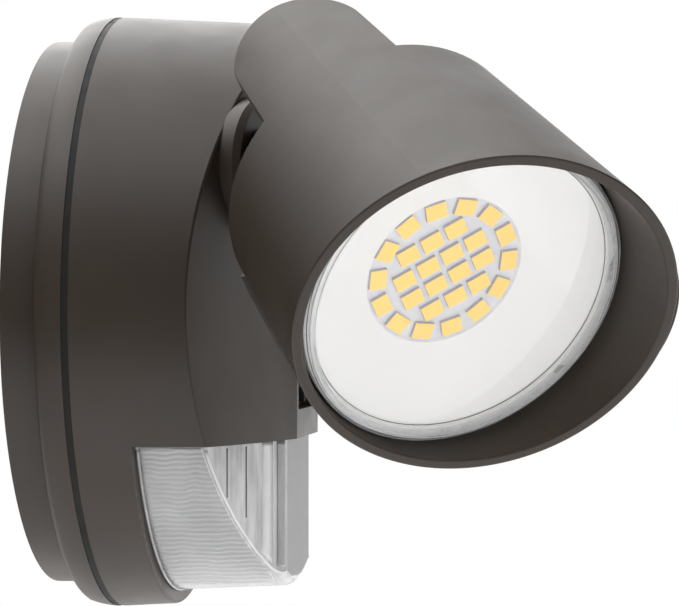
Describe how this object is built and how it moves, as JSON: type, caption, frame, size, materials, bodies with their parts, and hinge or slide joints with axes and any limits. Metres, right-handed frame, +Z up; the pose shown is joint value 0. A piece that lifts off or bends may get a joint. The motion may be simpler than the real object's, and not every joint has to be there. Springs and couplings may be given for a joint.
{
  "type": "motion sensor security light",
  "caption": "Wall-mounted outdoor security light: round canopy with a wrap-round motion sensor lens under a V-shaped nose, and hooded lamp heads on swivel and tilt knuckles.",
  "frame": {"origin": "centre of the back plate on the wall plane", "axes": "+Y points into the wall, the light stands out along -Y, +Z is up, +X is to the right for someone facing the wall"},
  "size_m": [0.233, 0.132, 0.1264],
  "materials": {
    "bronze_paint": "satin powder coat",
    "cast_aluminium": "as cast",
    "foam_rubber": "matte",
    "seal_rubber": "matte",
    "clear_seal": "satin",
    "steel": "brushed",
    "lens_plastic": "translucent",
    "black_plastic": "matte",
    "sensor_metal": "satin",
    "photocell_resin": "gloss",
    "circuit_board": "satin",
    "dark_plastic": "matte",
    "nylon": "matte",
    "component_plastic": "satin",
    "white_board": "satin",
    "led_yellow": "gloss",
    "reflector_white": "satin",
    "clear_glass": "clear"
  },
  "bodies": {
    "canopy": {"back_plate": "bronze_paint", "wall_gasket": "foam_rubber", "rear_housing": "bronze_paint", "lock_screw": "steel", "housing_screws": "steel", "seam_gasket": "seal_rubber", "front_housing": "bronze_paint", "sensor_lens": "lens_plastic", "sensor_holder": "black_plastic", "pyro_sensors": "sensor_metal", "photocell": "photocell_resin", "sensor_board": "circuit_board", "control_panel": "dark_plastic", "driver_board": "circuit_board", "driver_standoffs": "nylon", "driver_parts": "component_plastic", "terminal_block": "nylon", "swivel_collar_left": "bronze_paint", "swivel_collar_right": "bronze_paint"},
    "timer_knob": {"timer_slider": "black_plastic"},
    "range_knob": {"range_slider": "black_plastic"},
    "stem_left": {"swivel_stem_left": "bronze_paint", "swivel_nut_left": "steel", "swivel_washer_left": "steel"},
    "head_left": {"head_shell_left": "bronze_paint", "lamp_body_left": "cast_aluminium", "tilt_screw_left": "steel", "tilt_nut_left": "steel", "module_screws_left": "steel", "led_board_left": "white_board", "led_chips_left": "led_yellow", "reflector_left": "reflector_white", "glass_seal_left": "clear_seal", "lamp_glass_left": "clear_glass"},
    "stem_right": {"swivel_stem_right": "bronze_paint", "swivel_nut_right": "steel", "swivel_washer_right": "steel"},
    "head_right": {"head_shell_right": "bronze_paint", "lamp_body_right": "cast_aluminium", "tilt_screw_right": "steel", "tilt_nut_right": "steel", "module_screws_right": "steel", "led_board_right": "white_board", "led_chips_right": "led_yellow", "reflector_right": "reflector_white", "glass_seal_right": "clear_seal", "lamp_glass_right": "clear_glass"}
  },
  "joints": [
    {"name": "swivel_left", "type": "hinge", "parent": "canopy", "child": "stem_left", "pos_m": [-0.03857, -0.04721, 0.02934], "axis": [-0.342, -0.9397, 0], "range_deg": [-150, 60]},
    {"name": "tilt_left", "type": "hinge", "parent": "stem_left", "child": "head_left", "pos_m": [-0.04871, -0.06759, 0.03181], "axis": [-0.6758, 0.246, 0.6948], "range_deg": [-11, 104]},
    {"name": "swivel_right", "type": "hinge", "parent": "canopy", "child": "stem_right", "pos_m": [0.03857, -0.04721, 0.02934], "axis": [-0.342, 0.9397, 0], "range_deg": [-150, 60]},
    {"name": "tilt_right", "type": "hinge", "parent": "stem_right", "child": "head_right", "pos_m": [0.04871, -0.06759, 0.03181], "axis": [-0.6758, -0.246, -0.6948], "range_deg": [-11, 104]},
    {"name": "timer_slide", "type": "slide", "parent": "canopy", "child": "timer_knob", "axis": [1, 0, 0], "range_m": [-0.0026, 0.0026]},
    {"name": "range_slide", "type": "slide", "parent": "canopy", "child": "range_knob", "axis": [1, 0, 0], "range_m": [-0.0026, 0.0026]}
  ]
}
